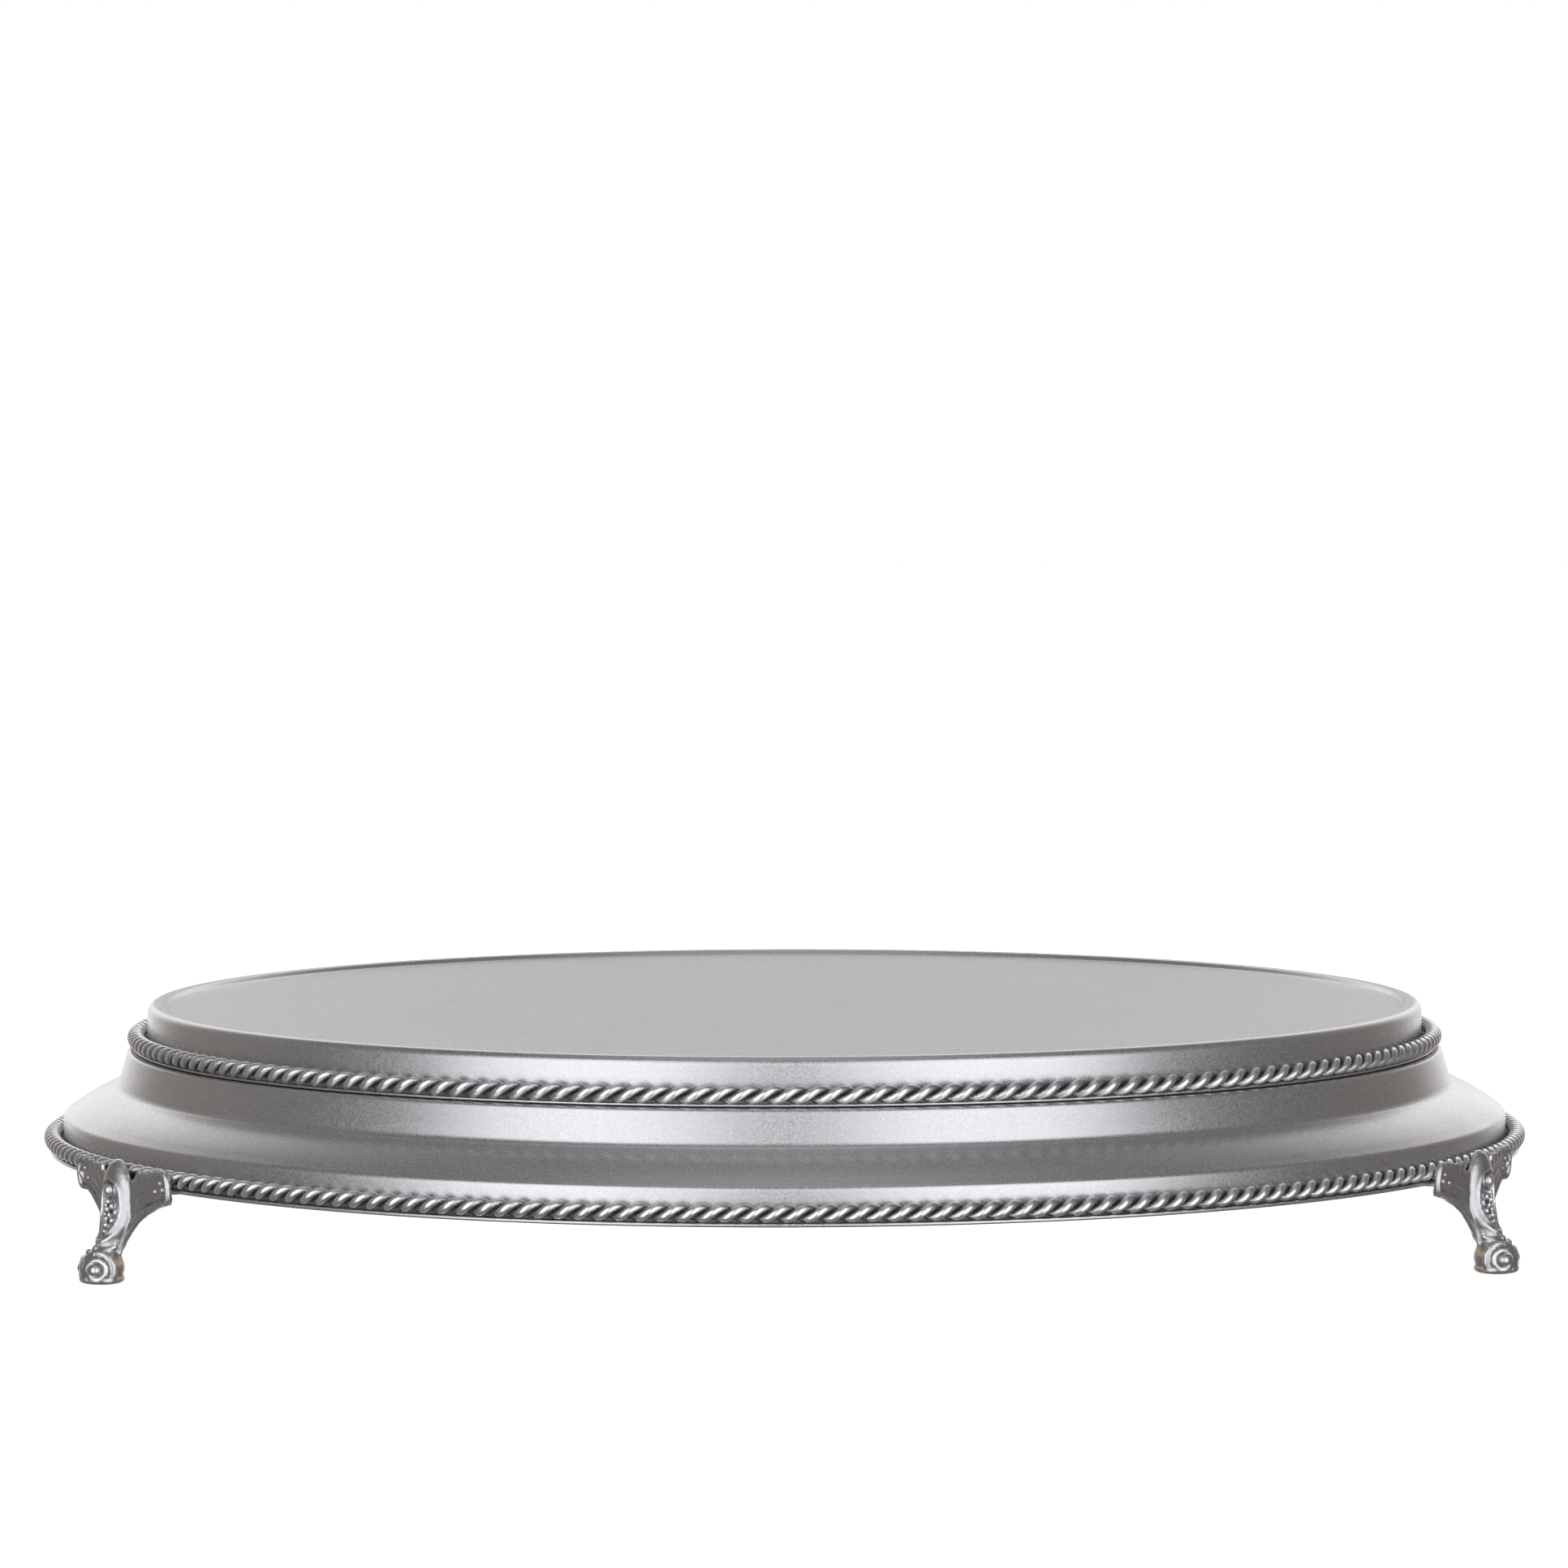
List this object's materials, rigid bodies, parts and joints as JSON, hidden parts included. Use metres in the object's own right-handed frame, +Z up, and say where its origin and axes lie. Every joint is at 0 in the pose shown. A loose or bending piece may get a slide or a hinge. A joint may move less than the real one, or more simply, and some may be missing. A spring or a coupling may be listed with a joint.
{
  "type": "footed cake turntable",
  "caption": "Round silver cake turntable: a shallow pan turns on a stepped spun base with twisted-rope trims and cast claw feet.",
  "frame": {"origin": "on the turning axis at table level, midway between the three paws' undersides", "axes": "+Z up along the turning axis; -Y is the front, with one foot 45 degrees to its left and one 75 degrees to its right, seen from above as azimuths -45, 75 and 195 degrees from -Y towards +X"},
  "size_m": [0.494, 0.494, 0.077],
  "materials": {
    "silver_paint": "satin metallic silver with fine sparkle",
    "antiqued_silver": "antiqued silver, bright on the high places and dark in the hollows",
    "plywood": "bare sanded plywood",
    "race_aluminium": "turned, lightly brushed",
    "zinc_steel": "bright zinc plated",
    "ball_steel": "polished",
    "cage_plastic": "natural moulded plastic"
  },
  "bodies": {
    "base": {"base_shell": "silver_paint", "base_rope": "antiqued_silver", "deck_board": "plywood", "foot_ring": "zinc_steel", "foot_1": "antiqued_silver", "foot_2": "antiqued_silver", "foot_3": "antiqued_silver", "foot_screws": "zinc_steel", "foot_washers": "zinc_steel", "foot_nuts": "zinc_steel", "inner_race": "race_aluminium", "inner_race_screws": "zinc_steel", "inner_race_washers": "zinc_steel"},
    "cage": {"ball_cage": "cage_plastic", "bearing_balls": "ball_steel"},
    "platter": {"top_pan": "silver_paint", "pan_rope": "antiqued_silver", "pan_stiffener": "race_aluminium", "outer_race": "race_aluminium", "outer_race_screws": "zinc_steel"}
  },
  "joints": [
    {"name": "platter_spin", "type": "hinge", "parent": "base", "child": "platter", "pos_m": [0, 0, 0.06695], "axis": [0, 0, 1], "continuous": true},
    {"name": "cage_spin", "type": "hinge", "parent": "base", "child": "cage", "pos_m": [0, 0, 0.06695], "axis": [0, 0, 1], "continuous": true}
  ],
  "couplings": [
    {"joint": "cage_spin", "follows": "platter_spin", "ratio": 0.5}
  ]
}
